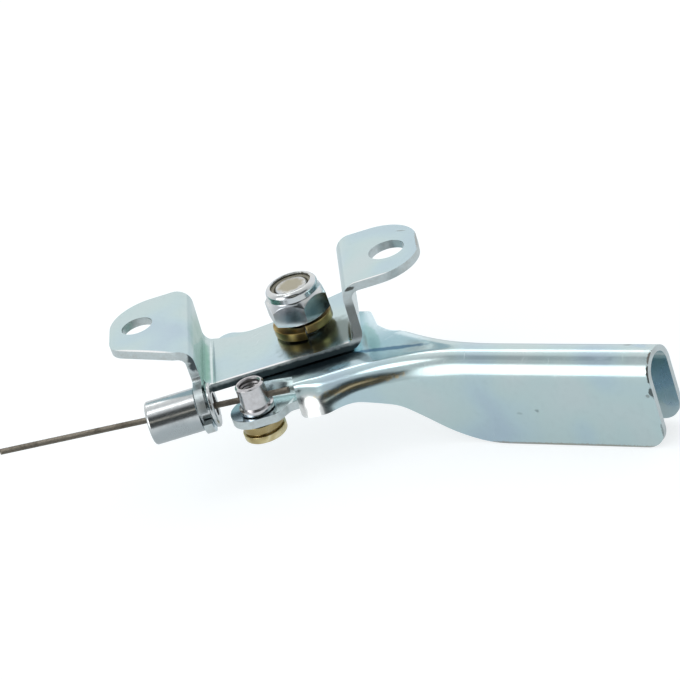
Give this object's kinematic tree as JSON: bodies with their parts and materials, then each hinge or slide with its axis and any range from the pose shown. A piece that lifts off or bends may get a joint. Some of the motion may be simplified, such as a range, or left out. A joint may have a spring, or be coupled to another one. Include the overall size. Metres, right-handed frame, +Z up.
{
  "type": "throttle lever",
  "caption": "Hand throttle lever for a garden machine: folded steel bracket, pivoting pressed lever with channel handle, swivelling cable clamp, cable ferrule and bare inner wire",
  "frame": {"origin": "midway between the centres of the two fixing holes, on the top plane of the bracket's ears", "axes": "+Z up out of the ears along the pivot bolt, +X along the bracket towards the handle's side, +Y to the back, away from the cable clamp; the handle leaves to the front right and the wire to the left"},
  "size_m": [0.1502, 0.0752, 0.036],
  "materials": {
    "blue_zinc": "blue-passivated zinc plate on pressed steel, glossy with soft tints and light handling scratches",
    "bright_zinc": "bright zinc plate on a forged nut and bolt",
    "yellow_zinc": "dull yellow chromated zinc on steel",
    "machined_steel": "turned steel with fine tool marks",
    "wire_steel": "bare stranded steel wire, dulled grey-brown",
    "grey_nylon": "dark nylon ring"
  },
  "bodies": {
    "bracket": {"bracket": "blue_zinc", "pivot_bolt": "bright_zinc", "spring_washer": "yellow_zinc", "lock_nut": "bright_zinc", "nylon_insert": "grey_nylon", "cable_ferrule": "machined_steel"},
    "lever": {"throttle_lever": "blue_zinc"},
    "cable_clamp": {"clamp_barrel": "machined_steel", "clamp_screw": "yellow_zinc", "inner_wire": "wire_steel"}
  },
  "joints": [
    {"name": "lever_pivot", "type": "hinge", "parent": "bracket", "child": "lever", "pos_m": [0.00675, -0.0017, -0.0153], "axis": [0, 0, 1], "range_deg": [-3, 30]},
    {"name": "clamp_swivel", "type": "hinge", "parent": "lever", "child": "cable_clamp", "pos_m": [-0.00715, -0.0231, -0.0183], "axis": [0, 0, 1], "range_deg": [-36, 4]}
  ],
  "couplings": [
    {"joint": "clamp_swivel", "follows": "lever_pivot", "ratio": -1.16}
  ]
}
